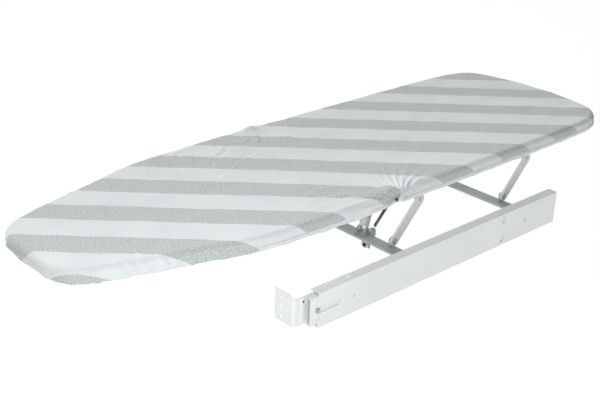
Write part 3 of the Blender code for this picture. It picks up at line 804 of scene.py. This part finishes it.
def rounded_strip(name, centre, along, across, length, width, thick, finish, body):
    """A pressed strip with rounded ends and a crowned face, standing off a flat face."""
    along, across = Vector(along).normalized(), Vector(across).normalized()
    out = along.cross(across)
    corner = width * 0.42
    loop = []
    for sx, sy, first in ((1, 1, 0), (-1, 1, 90), (-1, -1, 180), (1, -1, 270)):
        for k in range(7):
            turn = math.radians(first + 90 * k / 6)
            x = sx * (length / 2 - corner) + corner * math.cos(turn)
            y = sy * (width / 2 - corner) + corner * math.sin(turn)
            loop.append((x, y))
    vertices = []
    for share, lift in STRIP_LAYERS:
        for x, y in loop:
            inset = (1 - share) * width / 2
            px = math.copysign(max(abs(x) - inset, 0.0), x)
            py = math.copysign(max(abs(y) - inset, 0.0), y)
            vertices.append(Vector(centre) + along * px + across * py + out * thick * lift)
    count = len(loop)
    faces = strip_faces(len(STRIP_LAYERS), count, closed=True, turned=True)
    faces.append(tuple(reversed(range(count))))
    faces.append(tuple(range((len(STRIP_LAYERS) - 1) * count, len(STRIP_LAYERS) * count)))
    made = mesh_object(name, vertices, faces, finish)
    shape = bmesh.new()
    shape.from_mesh(made.data)
    bmesh.ops.recalc_face_normals(shape, faces=shape.faces)
    shape.to_mesh(made.data)
    shape.free()
    made.data.shade_smooth()
    made.data.set_sharp_from_angle(angle=math.radians(45))
    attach(made, body)


def make_fold_stops():
    """The black stops that show at the two ends of the fold."""
    x, y, z = STOP_PLACE
    for sign, side in SIDES:
        turned_piece(side + "_fold_stop", STOP_SECTION, (sign * x, y, z), (sign, 0, 0), BLACK, "board_rear")


def make_bracket_details():
    """A pressed rib and a rivet on the outer face of each front bracket."""
    length, width, thick = RIB_SIZE
    for sign, side in SIDES:
        low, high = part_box(side + "_front_bracket")
        face = high.x if sign > 0 else low.x
        rib = (face, RIB_Y, RIB_Z)
        rivet = (face + sign * thick, RIB_Y, RIVET_Z)
        rounded_strip(side + "_bracket_rib", rib, (0, 0, 1), (0, sign, 0), length, width, -thick,
                      WHITE, "carriage")
        turned_piece(side + "_bracket_rivet", RIVET_SECTION, rivet, (sign, 0, 0),
                     BLACK, "carriage")


def make_prop_plate():
    """The raised face of the prop."""
    length, width, thick = PROP_PLATE_SIZE
    line = Vector((0, math.cos(PROP_LEAN), math.sin(PROP_LEAN)))
    front = Vector((0, -math.sin(PROP_LEAN), math.cos(PROP_LEAN)))
    centre = box_middle("prop_pin") + line * PROP_PLATE_UP + front * PROP_HALF
    centre.x = box_middle("support_prop").x
    rounded_strip("prop_face_plate", centre, line, (1, 0, 0), length, width, -thick,
                  ARM_PAINT, "prop")


def make_buffer_face():
    """The domed face of the black buffer."""
    middle = box_middle("buffer_stud")
    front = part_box("buffer_stud")[0].y + BUFFER_SINK
    turned_piece("buffer_face", BUFFER_SECTION, (middle.x, front, middle.z), (0, -1, 0), BLACK, "carriage")


def place_light(lamp, place, aim):
    """Put a light in the scene, turned towards a point."""
    made = bpy.data.objects.new(lamp.name, lamp)
    made.location = place
    made.rotation_euler = (Vector(aim) - Vector(place)).to_track_quat("-Z", "Y").to_euler()
    bpy.context.scene.collection.objects.link(made)


def make_stage():
    """A pale floor well below, soft lights, and the camera."""
    bpy.ops.mesh.primitive_plane_add(size=FLOOR_SIZE, location=(0, 0, FLOOR_Z))
    floor = bpy.context.object
    floor.name = "studio_floor"
    pale = bpy.data.materials.new("pale_floor")
    pale.use_nodes = True
    inputs = pale.node_tree.nodes["Principled BSDF"].inputs
    inputs["Base Color"].default_value = (0.95, 0.95, 0.95, 1)
    inputs["Roughness"].default_value = 0.9
    inputs["Emission Color"].default_value = (1, 1, 1, 1)
    inputs["Emission Strength"].default_value = FLOOR_GLOW
    floor.data.materials.append(pale)

    world = bpy.data.worlds.new("studio")
    bpy.context.scene.world = world
    world.use_nodes = True
    sky = world.node_tree.nodes["Background"].inputs
    sky["Color"].default_value = (1, 1, 1, 1)
    sky["Strength"].default_value = WORLD_GLOW

    key = bpy.data.lights.new("key", "SUN")
    key.energy = KEY_STRENGTH
    key.angle = KEY_SPREAD
    place_light(key, KEY_SOURCE, (0, 0, 0))
    fill = bpy.data.lights.new("fill", "AREA")
    fill.energy = FILL_ENERGY
    fill.size = FILL_SIZE
    place_light(fill, FILL_PLACE, FILL_AIM)

    data = bpy.data.cameras.new("camera")
    data.lens = CAMERA_LENS
    data.sensor_width = 36.0
    data.clip_start = 0.01
    camera = bpy.data.objects.new("camera", data)
    turn = Matrix.Rotation(CAMERA_YAW, 4, "Z") @ Matrix.Rotation(math.pi / 2 - CAMERA_PITCH, 4, "X")
    turn = turn @ Matrix.Rotation(CAMERA_ROLL, 4, "Z")
    camera.matrix_world = Matrix.Translation(CAMERA_PLACE) @ turn
    bpy.context.scene.collection.objects.link(camera)
    bpy.context.scene.camera = camera
    bpy.context.scene.view_settings.view_transform = "Standard"


cover, cover_flats = make_cover()
make_pad("front_felt_pad", "front_pad", "board_front")
make_pad("rear_felt_pad", "rear_pad", "board_rear")
make_spring()
make_fold_stops()
make_bracket_details()
make_prop_plate()
make_buffer_face()
make_hem()
paint_cad_nodes()
make_stage()
